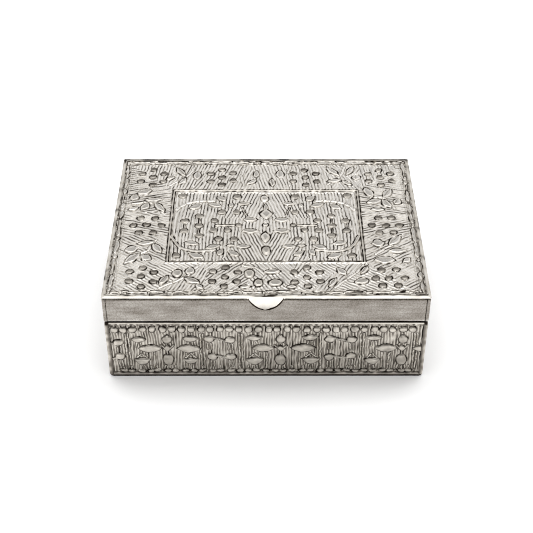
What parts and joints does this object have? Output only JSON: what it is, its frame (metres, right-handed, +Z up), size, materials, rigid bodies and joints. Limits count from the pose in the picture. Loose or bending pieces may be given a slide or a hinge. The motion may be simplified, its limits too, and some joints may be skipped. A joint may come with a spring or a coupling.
{
  "type": "rosary box",
  "caption": "Small rectangular keepsake box in embossed silver plate with a hinged, plain-banded lid, thumb tab and velvet-lined tray.",
  "frame": {"origin": "centre of the underside of the base", "axes": "+X along the width, +Y from the thumb tab towards the hinge, +Z up"},
  "size_m": [0.1024, 0.0824, 0.0338],
  "materials": {
    "embossed_silver": "pressed silver plate with tarnish left in the hollows",
    "plain_silver": "plain silver plate, worn satin",
    "polished_silver": "polished by handling",
    "velvet": "short-pile velvet",
    "card": "matt board",
    "pin_steel": "drawn wire"
  },
  "bodies": {
    "base": {"base_floor": "plain_silver", "base_panel_front": "embossed_silver", "base_panel_back": "embossed_silver", "base_panel_left": "embossed_silver", "base_panel_right": "embossed_silver", "inner_wall_front": "plain_silver", "inner_wall_back": "plain_silver", "inner_wall_left": "plain_silver", "inner_wall_right": "plain_silver", "lining_front": "velvet", "lining_back": "velvet", "lining_left": "velvet", "lining_right": "velvet", "floor_card": "card", "floor_velvet_pad": "velvet", "base_hinge_bearer": "plain_silver", "base_hinge_knuckles": "plain_silver", "hinge_pin": "pin_steel"},
    "lid": {"lid_plate": "embossed_silver", "thumb_tab": "polished_silver", "lid_band_front": "plain_silver", "lid_band_back": "plain_silver", "lid_band_left": "plain_silver", "lid_band_right": "plain_silver", "lid_lining_card": "card", "lid_velvet_pad": "velvet", "lid_hinge_bearer": "plain_silver", "lid_hinge_knuckles": "plain_silver"}
  },
  "joints": [
    {"name": "lid_hinge", "type": "hinge", "parent": "base", "child": "lid", "pos_m": [0, 0.03935, 0.0235], "axis": [-1, 0, 0], "range_deg": [0, 98]}
  ]
}
